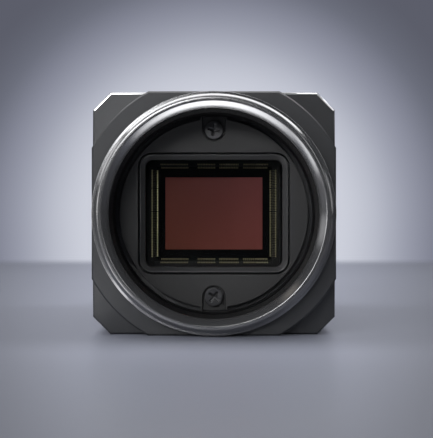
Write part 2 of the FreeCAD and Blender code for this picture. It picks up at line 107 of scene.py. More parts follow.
class NodeSheet:
    """A material's node tree, with short calls for adding and joining nodes."""

    def __init__(self, name: str) -> None:
        """Starts an empty material.

        Args:
            name: The material's name.
        """
        self.material = bpy.data.materials.new(name + FINISH_MARK)
        self.material.use_nodes = True
        self.tree = self.material.node_tree
        self.tree.nodes.clear()
        self.output = self.tree.nodes.new("ShaderNodeOutputMaterial")

    def add(self, kind: str, **sockets: object) -> bpy.types.Node:
        """Adds a node.

        Args:
            kind: The node's type without its ShaderNode prefix.
            **sockets: Input values, or sockets to link, by name, with spaces written as underscores.

        Returns:
            The new node.
        """
        node = self.tree.nodes.new("ShaderNode" + kind)
        for key, value in sockets.items():
            self.feed(node.inputs[key.replace("_", " ")], value)
        return node

    def feed(self, target: bpy.types.NodeSocket, value: object) -> None:
        """Gives an input its value, or a link where the value is a socket."""
        if isinstance(value, bpy.types.NodeSocket):
            self.join(value, target)
        else:
            target.default_value = value

    def join(self, source: bpy.types.NodeSocket, target: bpy.types.NodeSocket) -> None:
        """Links one socket to another."""
        self.tree.links.new(source, target)

    def place(self) -> bpy.types.NodeSocket:
        """Returns the socket of the object's own coordinates."""
        return self.add("TexCoord").outputs["Object"]

    def parts(self) -> bpy.types.NodeOutputs:
        """Returns the sockets X, Y and Z of the object's own coordinates."""
        return self.add("SeparateXYZ", Vector=self.place()).outputs

    def maths(self, operation: str, first: object, second: object = 0.0) -> bpy.types.NodeSocket:
        """Adds a sum of two values.

        Args:
            operation: The Math node's operation.
            first: A socket or a number.
            second: A socket or a number.

        Returns:
            The result's socket.
        """
        node = self.add("Math")
        node.operation = operation
        for target, value in zip(node.inputs, (first, second)):
            self.feed(target, value)
        return node.outputs[0]

    def distance(self, across: bpy.types.NodeSocket, up: bpy.types.NodeSocket) -> bpy.types.NodeSocket:
        """Returns how far two coordinates are from their origin."""
        square = self.maths("ADD", self.maths("MULTIPLY", across, across), self.maths("MULTIPLY", up, up))
        return self.maths("SQRT", square)

    def noise(self, size: float, detail: float = 2.0) -> bpy.types.NodeSocket:
        """Adds a noise pattern.

        Args:
            size: The size of its grains in metres.
            detail: How many finer layers it has.

        Returns:
            The pattern's value, from 0 to 1.
        """
        node = self.add("TexNoise", Vector=self.place(), Scale=1.0 / size, Detail=detail, Roughness=0.55)
        return node.outputs["Fac"]

    def between(self, value: bpy.types.NodeSocket, low: float, high: float) -> bpy.types.NodeSocket:
        """Spreads a value of 0 to 1 between two numbers."""
        return self.add("MapRange", Value=value, To_Min=low, To_Max=high).outputs["Result"]

    def share(self, value: bpy.types.NodeSocket, span: tuple[float, float],
              smooth: bool) -> bpy.types.NodeSocket:
        """Turns a span of a value into 0 to 1.

        Args:
            value: The value.
            span: Where the share is 0 and where it is 1.
            smooth: Whether it starts and ends gently.

        Returns:
            The share's socket.
        """
        node = self.add("MapRange", Value=value, From_Min=span[0], From_Max=span[1])
        if smooth:
            node.interpolation_type = "SMOOTHSTEP"
        return node.outputs["Result"]

    def blend(self, share: bpy.types.NodeSocket, first: object, second: object) -> bpy.types.NodeSocket:
        """Mixes two colours.

        Args:
            share: 0 for the first colour and 1 for the second.
            first: The first colour, or its socket.
            second: The second colour, or its socket.

        Returns:
            The mixed colour's socket.
        """
        node = self.add("Mix")
        node.data_type = "RGBA"
        for index, value in ((0, share), (6, first), (7, second)):
            self.feed(node.inputs[index], (*value, 1.0) if isinstance(value, tuple) else value)
        return node.outputs[2]

    def layered(self, share: bpy.types.NodeSocket, under: bpy.types.Node,
                over: bpy.types.Node) -> bpy.types.Node:
        """Mixes two shaders.

        Args:
            share: 0 for the first shader and 1 for the second.
            under: The first shader.
            over: The second shader.

        Returns:
            The mixed shader.
        """
        node = self.add("MixShader")
        for target, source in zip(node.inputs, (share, under.outputs[0], over.outputs[0])):
            self.join(source, target)
        return node

    def bump(self, height: bpy.types.NodeSocket, depth: float) -> bpy.types.NodeSocket:
        """Adds a bump.

        Args:
            height: The pattern's value, from 0 to 1.
            depth: The relief's depth in metres.

        Returns:
            The normal's socket.
        """
        return self.add("Bump", Height=height, Distance=depth, Strength=1.0).outputs["Normal"]

    def finish(self, shader: bpy.types.Node) -> bpy.types.Material:
        """Ends the sheet with a shader and returns its material."""
        self.join(shader.outputs[0], self.output.inputs["Surface"])
        return self.material


@dataclass(frozen=True)
class Surface:
    """What all finishes share.

    Attributes:
        name: The material's name.
    """

    name: str

    def material(self) -> bpy.types.Material:
        """Returns the material, which is mixed when it is first asked for."""
        return bpy.data.materials.get(self.name + FINISH_MARK) or self.mixed(NodeSheet(self.name))

    def mixed(self, sheet: NodeSheet) -> bpy.types.Material:
        """Builds the material on an empty sheet."""
        raise NotImplementedError


@dataclass(frozen=True)
class Finish(Surface):
    """A satin surface with a fine grain and a faint cloudiness.

    Attributes:
        colour: Its colour where it is cleanest.
        shade: Its colour in the cloudy places.
        roughness: Its mean roughness.
        spread: How far the roughness wanders.
        grain: The size of the fine grain in metres.
        depth: The depth of the fine grain in metres.
        cloud: The size of the clouds in metres.
        metal: How much of its shine is metal.
        shine: The specular level.
    """

    colour: Colour
    shade: Colour
    roughness: float = 0.4
    spread: float = 0.05
    grain: float = 0.00012
    depth: float = 0.000002
    cloud: float = 0.006
    metal: Metalness = Metalness.NONE
    shine: float = 0.5

    def relief(self, sheet: NodeSheet) -> bpy.types.NodeSocket:
        """Returns the height pattern of the fine grain."""
        return sheet.noise(self.grain, 3.0)

    def rough(self, sheet: NodeSheet, clouds: bpy.types.NodeSocket) -> bpy.types.NodeSocket:
        """Returns the roughness, which wanders with the clouds."""
        return sheet.between(clouds, self.roughness - self.spread, self.roughness + self.spread)

    def mixed(self, sheet: NodeSheet) -> bpy.types.Material:
        """Builds the material on an empty sheet."""
        clouds = sheet.noise(self.cloud, 4.0)
        return sheet.finish(sheet.add(
            "BsdfPrincipled", Metallic=self.metal.value, Specular_IOR_Level=self.shine,
            Base_Color=sheet.blend(clouds, self.colour, self.shade), Roughness=self.rough(sheet, clouds),
            Normal=sheet.bump(self.relief(sheet), self.depth)))


@dataclass(frozen=True)
class TurnedFinish(Finish):
    """A surface from the lathe, with fine rings about the optical axis.

    Attributes:
        axis_z: The height of the optical axis in metres.
        pitch: The distance between tool marks in metres.
        grain_share: How strong the fine grain is beside the tool marks.
    """

    axis_z: float = 0.0145
    pitch: float = 0.00009
    grain_share: float = 0.4

    def relief(self, sheet: NodeSheet) -> bpy.types.NodeSocket:
        """Returns the height pattern of the tool marks."""
        parts = sheet.parts()
        radius = sheet.distance(parts["X"], sheet.maths("SUBTRACT", parts["Z"], self.axis_z))
        along = sheet.maths("ADD", radius, parts["Y"])
        rings = sheet.add("TexNoise", Scale=1.0 / self.pitch, Detail=2.0)
        rings.noise_dimensions = "1D"
        sheet.join(along, rings.inputs["W"])
        fine = sheet.maths("MULTIPLY", sheet.noise(self.grain), self.grain_share)
        return sheet.maths("ADD", rings.outputs["Fac"], fine)


@dataclass(frozen=True)
class PixelFinish(Finish):
    """A silicon die: a coloured pixel field with a dark border.

    Attributes:
        field_colour: The colour of the pixel field.
        field_tint: Its colour towards its upper right corner.
        half_x: Half the field's width in metres.
        half_z: Half the field's height in metres.
        axis_z: The height of the optical axis in metres.
        slope: How far from the middle, across and up together, the two colours are reached, in metres.
    """

    field_colour: Colour = (0.25, 0.07, 0.046)
    field_tint: Colour = (0.245, 0.071, 0.068)
    half_x: float = 0.006415
    half_z: float = 0.004765
    axis_z: float = 0.0145
    slope: float = 0.011

    def mixed(self, sheet: NodeSheet) -> bpy.types.Material:
        """Builds the material on an empty sheet."""
        parts = sheet.parts()
        up = sheet.maths("SUBTRACT", parts["Z"], self.axis_z)
        inside_x = sheet.maths("LESS_THAN", sheet.maths("ABSOLUTE", parts["X"]), self.half_x)
        inside_z = sheet.maths("LESS_THAN", sheet.maths("ABSOLUTE", up), self.half_z)
        inside = sheet.maths("MULTIPLY", inside_x, inside_z)
        share = sheet.share(sheet.maths("ADD", parts["X"], up), (-self.slope, self.slope), False)
        tone = sheet.blend(share, self.field_colour, self.field_tint)
        rough = self.rough(sheet, sheet.noise(self.cloud))
        return sheet.finish(sheet.add(
            "BsdfPrincipled", Specular_IOR_Level=self.shine, Metallic=self.metal.value,
            Base_Color=sheet.blend(inside, self.colour, tone), Roughness=rough))


@dataclass(frozen=True)
class GlassFinish(Surface):
    """Flat coated glass that shows what is behind it.

    Attributes:
        tint: The colour of the light that comes through.
        mirror: The colour of the faint coating reflection.
        roughness: The roughness of that reflection.
        smear: The size of the faint smears in metres.
        edge_ior: The index of refraction that sets how soon the reflection grows towards the edges.
    """

    tint: Colour = (0.97, 0.98, 0.985)
    mirror: Colour = (0.14, 0.15, 0.17)
    roughness: float = 0.03
    smear: float = 0.004
    edge_ior: float = 1.25

    def mixed(self, sheet: NodeSheet) -> bpy.types.Material:
        """Builds the material on an empty sheet."""
        clear = sheet.add("BsdfTransparent", Color=(*self.tint, 1.0))
        rough = sheet.between(sheet.noise(self.smear), self.roughness * 0.7, self.roughness * 1.5)
        shine = sheet.add("BsdfAnisotropic", Color=(*self.mirror, 1.0), Roughness=rough)
        return sheet.finish(sheet.layered(sheet.add("Fresnel", IOR=self.edge_ior).outputs[0], clear, shine))


MILLED = Finish("milled_anodised", (0.034, 0.035, 0.038), (0.028, 0.029, 0.032), roughness=0.42, spread=0.05,
                grain=0.00016, depth=0.0000035, cloud=0.009, metal=Metalness.ANODISED)
TURNED = TurnedFinish("turned_anodised", (0.21, 0.21, 0.215), (0.18, 0.18, 0.185), roughness=0.19, spread=0.03,
                      grain=0.00012, depth=0.0000012, cloud=0.008, metal=Metalness.TURNED)
# Painted highlight: a nearly white bare-metal finish for the upward-facing chamfers on the corner lands' rims.
HIGHLIGHT_EDGE = Finish("painted_highlight_edge", (0.9, 0.9, 0.91), (0.8, 0.8, 0.81), roughness=0.28, spread=0.04,
                  grain=0.00012, depth=0.0000008, cloud=0.006, metal=Metalness.BARE)
# Painted shade: the throat and the thread are black anodised like the ring, and painted far darker than it,
# where shade falls in the bore.
THROAT_SHADE = TurnedFinish("throat_painted_shade", (0.004, 0.004, 0.0045), (0.003, 0.003, 0.0035), roughness=0.45,
                        depth=0.0000015, shine=0.12)
RETAINER_BLACK = Finish("retainer_black", (0.02, 0.02, 0.021), (0.016, 0.016, 0.017), roughness=0.5,
                        grain=0.0001, depth=0.000003, cloud=0.005)
SCREW_DARK = Finish("dark_oxide_steel", (0.09, 0.09, 0.093), (0.05, 0.05, 0.053), roughness=0.32, spread=0.08,
                    grain=0.0002, depth=0.000003, cloud=0.0012, metal=Metalness.BARE)
FRAME_BLACK = Finish("moulded_frame", (0.048, 0.048, 0.049), (0.04, 0.04, 0.041), roughness=0.36,
                     grain=0.00009, depth=0.000002, cloud=0.003, shine=0.8)
SEAL_BLACK = Finish("seal_rubber", (0.018, 0.018, 0.018), (0.012, 0.012, 0.012), roughness=0.75,
                    grain=0.0002, depth=0.000004, cloud=0.003, shine=0.3)
CERAMIC_DARK = Finish("package_ceramic", (0.012, 0.011, 0.01), (0.008, 0.0075, 0.007), roughness=0.6,
                      grain=0.00008, depth=0.000002, cloud=0.002, shine=0.3)
SILICON = PixelFinish("sensor_silicon", (0.002, 0.002, 0.0022), (0.002, 0.002, 0.0022), roughness=0.3,
                      spread=0.03, shine=0.06)
GOLD = Finish("bond_gold", (0.95, 0.87, 0.5), (0.85, 0.77, 0.43), roughness=0.5, spread=0.06,
              grain=0.00004, depth=0.0000005, cloud=0.0008, metal=Metalness.BARE)
# Painted shade: a darker copy of the bond gold; the left side rows keep the full gold, and the other pads and
# the wires get this copy.
SHADED_GOLD = Finish("bond_gold_painted_shade", (0.42, 0.37, 0.2), (0.3, 0.26, 0.14), roughness=0.45, spread=0.06,
                   grain=0.00004, depth=0.000001, cloud=0.0006, metal=Metalness.ANODISED)
CONTACT_GOLD = Finish("contact_gold", (0.83, 0.62, 0.24), (0.72, 0.53, 0.2), roughness=0.25, spread=0.05,
                      grain=0.00005, depth=0.000001, cloud=0.001, metal=Metalness.BARE)
NICKEL = Finish("nickel_plate", (0.56, 0.55, 0.52), (0.47, 0.46, 0.44), roughness=0.3, spread=0.07,
                grain=0.0001, depth=0.0000015, cloud=0.003, metal=Metalness.BARE)
INSERT_BLACK = Finish("insert_plastic", (0.025, 0.025, 0.026), (0.018, 0.018, 0.019), roughness=0.45,
                      grain=0.00012, depth=0.000003, cloud=0.002)
BOARD_GREEN = Finish("solder_mask", (0.016, 0.085, 0.04), (0.01, 0.06, 0.03), roughness=0.35,
                     grain=0.0003, depth=0.000006, cloud=0.0015)
BRASS = Finish("spacer_brass", (0.62, 0.45, 0.18), (0.5, 0.36, 0.14), roughness=0.35, spread=0.08,
               grain=0.0001, depth=0.000002, cloud=0.001, metal=Metalness.BARE)
CHIP_BLACK = Finish("chip_resin", (0.022, 0.022, 0.023), (0.016, 0.016, 0.017), roughness=0.55,
                    grain=0.00006, depth=0.000003, cloud=0.002)
LED_WHITE = Finish("led_lens", (0.7, 0.68, 0.6), (0.62, 0.6, 0.52), roughness=0.25, grain=0.0002, cloud=0.001)
LIGHT_CLEAR = GlassFinish("light_pipe", (0.85, 0.9, 0.92), (0.8, 0.85, 0.88), 0.08)
FILTER_CLEAR = GlassFinish("filter_glass")
COVER_CLEAR = GlassFinish("cover_glass", (0.98, 0.98, 0.98), (0.1, 0.11, 0.12))


def new_object(name: str, shape: bmesh.types.BMesh,
               materials: Iterable[bpy.types.Material]) -> bpy.types.Object:
    """Makes a smooth object from a shape and puts it into the scene.

    Args:
        name: The object's name.
        shape: Its shape. It is used up.
        materials: Its materials.

    Returns:
        The new object.
    """
    mesh = bpy.data.meshes.new(name)
    shape.to_mesh(mesh)
    shape.free()
    mesh.polygons.foreach_set("use_smooth", [True] * len(mesh.polygons))
    for material in materials:
        mesh.materials.append(material)
    made = bpy.data.objects.new(name, mesh)
    bpy.context.scene.collection.objects.link(made)
    return made


@dataclass
class Workshop:
    """Turns shapes in the optical frame into pieces of the part.

    Attributes:
        nodes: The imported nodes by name.
        flange_y: Where the lens flange lies along the part's Y axis, in metres.
        axis_z: The height of the optical axis, in metres.
        doubles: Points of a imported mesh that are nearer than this, in millimetres, are one.
        flat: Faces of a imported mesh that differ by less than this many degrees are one.
        sharp: Edges of a piece that are sharper than this many degrees stay sharp.
    """

    nodes: dict[str, bpy.types.Object]
    flange_y: float
    axis_z: float
    doubles: float = 0.0005
    flat: float = 0.5
    sharp: float = 35.0

    def to_part(self) -> Matrix:
        """Returns the matrix from the optical frame in millimetres to the part's frame."""
        return Matrix.Translation((0.0, self.flange_y, self.axis_z)) @ Matrix.Scale(MM, 4)

    def cad_copy(self, node: str, join_flat: bool = True) -> bmesh.types.BMesh:
        """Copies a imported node's mesh.

        Args:
            node: The node's name.
            join_flat: Whether its flat faces are joined.

        Returns:
            Its shape in the optical frame, with doubles merged.
        """
        shape = bmesh.new()
        shape.from_mesh(self.nodes[node].data)
        bmesh.ops.transform(shape, matrix=self.to_part().inverted(), verts=shape.verts)
        bmesh.ops.remove_doubles(shape, verts=shape.verts, dist=self.doubles)
        if join_flat:
            bmesh.ops.dissolve_limit(shape, angle_limit=math.radians(self.flat), use_dissolve_boundaries=False,
                                     verts=shape.verts, edges=shape.edges)
        for face in shape.faces:
            face.material_index = 0
        return shape

    def piece(self, name: str, shape: bmesh.types.BMesh, finishes: Sequence[Surface],
              replaces: Iterable[str] = ()) -> None:
        """Makes a piece of the part from a shape.

        Args:
            name: The piece's name.
            shape: Its shape in the optical frame. It is used up.
            finishes: Its finishes, in the order of the faces' material numbers.
            replaces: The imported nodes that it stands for.
        """
        bmesh.ops.transform(shape, matrix=self.to_part(), verts=shape.verts)
        made = new_object(name, shape, [finish.material() for finish in finishes])
        made.data.set_sharp_from_angle(angle=math.radians(self.sharp))
        made.modifiers.new("flat_faces", "WEIGHTED_NORMAL").keep_sharp = True
        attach(made, "root")
        names = tuple(replaces)
        if names:
            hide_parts(*names)
        LOG.info("%s: %d faces", name, len(made.data.polygons))

    def dress(self, node: str, finish: Surface) -> None:
        """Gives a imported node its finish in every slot.

        Args:
            node: The node's name.
            finish: The finish.
        """
        for slot in self.nodes[node].material_slots:
            slot.material = finish.material()
        LOG.info("%s: dressed in %s", node, finish.name)


def off_axis(place: Vector) -> float:
    """Returns how far a place is from the optical axis."""
    return math.hypot(place.x, place.z)


def section_loop(shape: bmesh.types.BMesh, profile: Section) -> tuple[Verts, list[bmesh.types.BMEdge]]:
    """Draws a closed section to the right of the optical axis.

    Args:
        shape: The bmesh to add to.
        profile: Points as (radius, depth) in millimetres.

    Returns:
        Its points and its edges.
    """
    points = [shape.verts.new((radius, depth, 0.0)) for radius, depth in profile]
    return points, [shape.edges.new(pair) for pair in zip(points, points[1:] + points[:1])]


def spun(profile: Section, steps: int) -> bmesh.types.BMesh:
    """Turns a closed profile once about the optical axis.

    Args:
        profile: Points as (radius, depth) in millimetres.
        steps: How many steps the turn has.

    Returns:
        The turned shape.
    """
    shape = bmesh.new()
    points, edges = section_loop(shape, profile)
    bmesh.ops.spin(shape, geom=points + edges, cent=(0, 0, 0), axis=(0, 1, 0), dvec=(0, 0, 0),
                   angle=2 * math.pi, steps=steps, use_merge=True, use_duplicate=False)
    bmesh.ops.recalc_face_normals(shape, faces=shape.faces)
    return shape


def bevel_sharp(shape: bmesh.types.BMesh, width: float, segments: int = 2, angle: float = 30.0,
                wanted: Callable[[bmesh.types.BMEdge], bool] | None = None,
                clamp: bool = True) -> list[bmesh.types.BMFace]:
    """Rounds the sharp edges of a shape.

    Args:
        shape: The bmesh.
        width: The rounding's width in millimetres.
        segments: How many faces go across each rounding.
        angle: Edges sharper than this many degrees are rounded.
        wanted: A further test that an edge has to pass.
        clamp: Whether short edges narrow the rounding.

    Returns:
        The faces of the rounding.
    """
    limit = math.radians(angle)
    sharp = [edge for edge in shape.edges if len(edge.link_faces) == 2 and edge.calc_face_angle(0.0) > limit]
    if wanted:
        sharp = [edge for edge in sharp if wanted(edge)]
    return bmesh.ops.bevel(shape, geom=sharp, offset=width, offset_type="OFFSET", segments=segments,
                           profile=0.5, affect="EDGES", clamp_overlap=clamp, material=-1)["faces"]


def box_between(shape: bmesh.types.BMesh, low: Sequence[float], high: Sequence[float]) -> Verts:
    """Adds a plain box.

    Args:
        shape: The bmesh to add to.
        low: Its lowest corner in millimetres.
        high: Its highest corner in millimetres.

    Returns:
        Its corners.
    """
    made = bmesh.ops.create_cube(shape, size=1.0)["verts"]
    span = Vector(high) - Vector(low)
    bmesh.ops.scale(shape, vec=span, verts=made)
    bmesh.ops.translate(shape, vec=(Vector(low) + Vector(high)) / 2, verts=made)
    return made


@dataclass
class LensRing:
    """The turned lens ring with its thread, in millimetres.

    Attributes:
        mouth_r: Outer radius of the mouth chamfer.
        minor_r: The thread's minor radius.
        root_r: The thread's root radius.
        flat_r: Outer radius of the flange face.
        ring_r: Radius of the ring's cylinder.
        step_r: Radius of the seal step at the ring's root.
        pitch: The thread's pitch.
        turns: How many turns the thread has.
        thread_steps: How many steps each of them has.
        ring_steps: How many steps the ring has.
        crest: Width of the thread's crest, as a share of the pitch.
        flank: Width of each of its flanks, as a share of the pitch.
        mouth: Depth of the mouth chamfer.
        groove: Depth from there to the groove that the thread stands in.
        lead: Depth from the groove's start to the thread's.
        wall: How far behind the root radius the groove's wall lies.
        shade_rim: How far out from the minor radius the throat's painted shade reaches at the mouth.
        shade_wall: How far out from the root radius it reaches behind the mouth.
        shade_from: How far behind the mouth that starts.
        run_out: Length of the taper behind the thread.
        chamfer: Length of the ring's front taper.
        step: Depth of the seal step.
        relief_r: Radius of the throat behind the thread.
        relief: Depth where that wider throat starts.
        break_width: Width of the rounded edges.
        break_end: Edges that end nearer to the block's face than this stay sharp.
    """

    mouth_r: float = 13.15
    minor_r: float = 12.3
    root_r: float = 12.72
    flat_r: float = 13.6
    ring_r: float = 14.0
    step_r: float = 14.35
    pitch: float = 0.79375
    turns: int = 6
    thread_steps: int = 128
    ring_steps: int = 256
    crest: float = 0.25
    flank: float = 0.33
    mouth: float = 0.85
    groove: float = 0.12
    lead: float = 0.03
    wall: float = 0.05
    shade_rim: float = 0.15
    shade_wall: float = 0.1
    shade_from: float = 0.05
    run_out: float = 0.45
    chamfer: float = 0.4
    step: float = 1.0
    relief_r: float = 12.55
    relief: float = 9.4
    break_width: float = 0.07
    break_end: float = 0.05

    def profile(self, sleeve_r: float, boss: float, floor: float) -> Section:
        """Returns the section of ring and throat.

        Args:
            sleeve_r: Outer radius of the part that sits in the block.
            boss: Depth of the block's front face.
            floor: Depth of the throat's floor.

        Returns:
            The points as (radius, depth).
        """
        wall_r = self.root_r + self.wall
        groove = self.mouth + self.groove
        thread_end = self.mouth + self.pitch * (self.turns + 1)
        return [
            (self.minor_r, self.mouth), (self.mouth_r, 0.0), (self.flat_r, 0.0),
            (self.ring_r, self.chamfer), (self.ring_r, self.step), (self.step_r, self.step),
            (self.step_r, boss), (sleeve_r, boss), (sleeve_r, floor),
            (self.relief_r, floor), (self.relief_r, self.relief), (self.minor_r, self.relief),
            (self.minor_r, thread_end + self.run_out), (wall_r, thread_end), (wall_r, groove),
            (self.minor_r, groove),
        ]

    def add_to(self, shape: bmesh.types.BMesh, sleeve_r: float, boss: float, floor: float) -> None:
        """Adds the ring and its thread to a shape.

        Args:
            shape: The bmesh to add to.
            sleeve_r: Outer radius of the part that sits in the block.
            boss: Depth of the block's front face.
            floor: Depth of the throat's floor.
        """
        part = spun(self.profile(sleeve_r, boss, floor), self.ring_steps)
        last = boss - self.break_end
        bevel_sharp(part, self.break_width, 3, 20.0, lambda edge: max(vert.co.y for vert in edge.verts) < last)
        # Faces on the throat and its wall get the near-black finish with painted shade; the rest is turned.
        for face in part.faces:
            dark = self.in_throat(face.calc_center_median())
            face.material_index = (BlockFace.THROAT_SHADE if dark else BlockFace.TURNED).value
        self.add_thread(part)
        merge_into(shape, part)

    def in_throat(self, place: Vector) -> bool:
        """Tells whether a place is on the throat's wall, or on the wall that the thread stands on."""
        radius, behind_mouth = off_axis(place), place.y - self.mouth
        return ((radius < self.minor_r + self.shade_rim and behind_mouth > 0)
                or (radius < self.root_r + self.shade_wall and behind_mouth > self.shade_from))

    def add_thread(self, shape: bmesh.types.BMesh) -> None:
        """Adds the thread's ridge as one helix.

        Args:
            shape: The bmesh to add to.
        """
        start = self.mouth + self.groove + self.lead
        flank, crest = self.pitch * self.flank, self.pitch * self.crest
        base = self.root_r + self.wall + NEAR
        before = set(shape.faces)
        verts, edges = section_loop(shape, [(base, start), (self.minor_r, start + flank),
                                            (self.minor_r, start + flank + crest),
                                            (base, start + 2 * flank + crest)])
        shape.faces.new(verts)
        result = bmesh.ops.spin(shape, geom=verts + edges, cent=(0, 0, 0), axis=(0, 1, 0),
                                dvec=(0, self.pitch / self.thread_steps, 0), angle=2 * math.pi * self.turns,
                                steps=self.thread_steps * self.turns, use_merge=False, use_duplicate=False)
        last = [item for item in result["geom_last"] if isinstance(item, bmesh.types.BMVert)]
        bmesh.ops.contextual_create(shape, geom=last)
        made = [face for face in shape.faces if face not in before]
        bmesh.ops.recalc_face_normals(shape, faces=made)
        for face in made:
            face.material_index = BlockFace.THROAT_SHADE.value


def rounded_face(shape: bmesh.types.BMesh, half_x: float, half_z: float, radius: float,
                 depth: float, steps: int = 10) -> bmesh.types.BMFace:
    """Adds a flat rectangle with rounded corners, facing the front.

    Args:
        shape: The bmesh to add to.
        half_x: Half its width in millimetres.
        half_z: Half its height.
        radius: The radius of its corners.
        depth: Where it lies behind the flange.
        steps: How many edges each corner has.

    Returns:
        The face.
    """
    turn = Matrix.Rotation(math.radians(90), 4, "X")
    made = bmesh.ops.create_grid(shape, x_segments=1, y_segments=1, size=1.0, matrix=turn)["verts"]
    bmesh.ops.scale(shape, vec=(half_x, 1, half_z), verts=made)
    bmesh.ops.translate(shape, vec=(0, depth, 0), verts=made)
    result = bmesh.ops.bevel(shape, geom=made, offset=radius, offset_type="OFFSET", segments=steps, profile=0.5,
                             affect="VERTICES", clamp_overlap=True, material=-1)
    face = max(shape.faces, key=lambda item: len(item.verts) if item.verts[0] in result["verts"] else 0)
    if face.normal.y > 0:
        face.normal_flip()
    return face


def stepped(shape: bmesh.types.BMesh, face: bmesh.types.BMFace, inset: float,
            rise: float) -> bmesh.types.BMFace:
    """Takes a flat face one step inwards and along the depth, with a band of faces behind it.

    Args:
        shape: The bmesh.
        face: The face.
        inset: How far it draws in, in millimetres, or 0 for a straight wall.
        rise: How far it moves along the depth.

    Returns:
        The face at its new place.
    """
    if inset > 0:
        bmesh.ops.inset_region(shape, faces=[face], thickness=inset, depth=0.0, use_even_offset=True,
                               use_boundary=True)
    else:
        face = bmesh.ops.extrude_discrete_faces(shape, faces=[face])["faces"][0]
    bmesh.ops.translate(shape, vec=(0, rise, 0), verts=face.verts)
    return face


def merge_into(target: bmesh.types.BMesh, part: bmesh.types.BMesh) -> None:
    """Adds one bmesh to another and frees it.

    Args:
        target: The bmesh that grows.
        part: The bmesh that is used up.
    """
    scratch = bpy.data.meshes.new("scratch")
    part.to_mesh(scratch)
    part.free()
    target.from_mesh(scratch)
    bpy.data.meshes.remove(scratch)


def edged(shop: Workshop, name: str, node: str, width: float, finish: Surface,
          angle: float = 30.0, wanted: Callable[[bmesh.types.BMEdge], bool] | None = None) -> None:
    """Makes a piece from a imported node, with its sharp edges rounded.

    Args:
        shop: The workshop.
        name: The piece's name.
        node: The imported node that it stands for.
        width: The width of its rounded edges.
        finish: Its finish.
        angle: Edges sharper than this many degrees are rounded.
        wanted: A further test that an edge has to pass.
    """
    shape = shop.cad_copy(node)
    bevel_sharp(shape, width, 2, angle, wanted)
    shop.piece(name, shape, [finish], [node])


@dataclass
class FrontHousing:
    """The machined front block with its lens ring.

    Attributes:
        ring: The lens ring.
        sleeve_r: Radius where the ring's throat sits in the block.
        boss: Depth of the block's round front face.
        floor: Depth of the throat's floor.
        land: Depth of the lowered corner lands.
        land_edge: Edges of the lands further out than this, across and up together, are chamfered.
        land_width: Width of that chamfer.
        highlight_rise: Parts of the chamfer that face upwards more than this get a painted highlight.
        edge_width: Width of the block's rounded edges.
        outer_r: Edges further from the optical axis than this are on the outside.
    """

    ring: LensRing = field(default_factory=LensRing)
    sleeve_r: float = 13.1
    boss: float = 2.5
    floor: float = 11.2
    land: float = 4.0
    land_edge: float = 23.0
    land_width: float = 0.24
    highlight_rise: float = 0.3
    edge_width: float = 0.15
    outer_r: float = 14.3

    def build(self, shop: Workshop) -> None:
        """Builds the front housing in the workshop."""
        shape = shop.cad_copy("front_housing")
        for vert in shape.verts:
            radius = off_axis(vert.co)
            if vert.co.y < self.boss - NEAR:
                vert.co.y = self.boss
            if abs(radius - self.ring.minor_r) < 2 * NEAR and vert.co.y < self.floor + NEAR:
                vert.co.x *= self.sleeve_r / radius
                vert.co.z *= self.sleeve_r / radius
        bmesh.ops.remove_doubles(shape, verts=shape.verts, dist=2 * shop.doubles)
        bmesh.ops.dissolve_degenerate(shape, dist=shop.doubles, edges=shape.edges)
        # The land rims get a narrow chamfer; its upward-facing faces are painted nearly white as a painted
        # highlight, the others stay milled.
        for face in bevel_sharp(shape, self.land_width, 1, 30.0, self.is_land_rim, clamp=False):
            face.normal_update()
            bright = face.normal.z > self.highlight_rise
            face.material_index = (BlockFace.PAINTED_HIGHLIGHT if bright else BlockFace.MILLED).value
        bevel_sharp(shape, self.edge_width, 2, 30.0, self.is_outer)
        self.ring.add_to(shape, self.sleeve_r, self.boss, self.floor)
        shop.piece("front_block", shape, [MILLED, TURNED, THROAT_SHADE, HIGHLIGHT_EDGE], ["front_housing"])

    def is_land_rim(self, edge: bmesh.types.BMEdge) -> bool:
        """Tells whether an edge is on the rim of a corner land."""
        middle = (edge.verts[0].co + edge.verts[1].co) / 2
        return (edge.is_convex and all(abs(vert.co.y - self.land) < NEAR for vert in edge.verts)
                and abs(middle.x) + abs(middle.z) > self.land_edge)

    def is_outer(self, edge: bmesh.types.BMEdge) -> bool:
        """Tells whether an edge is on the block's outside, where it shows, and not on a corner land's rim."""
        return (all(off_axis(vert.co) > self.outer_r for vert in edge.verts)
                and any(abs(vert.co.y - self.land) > self.land_width + 2 * NEAR for vert in edge.verts))


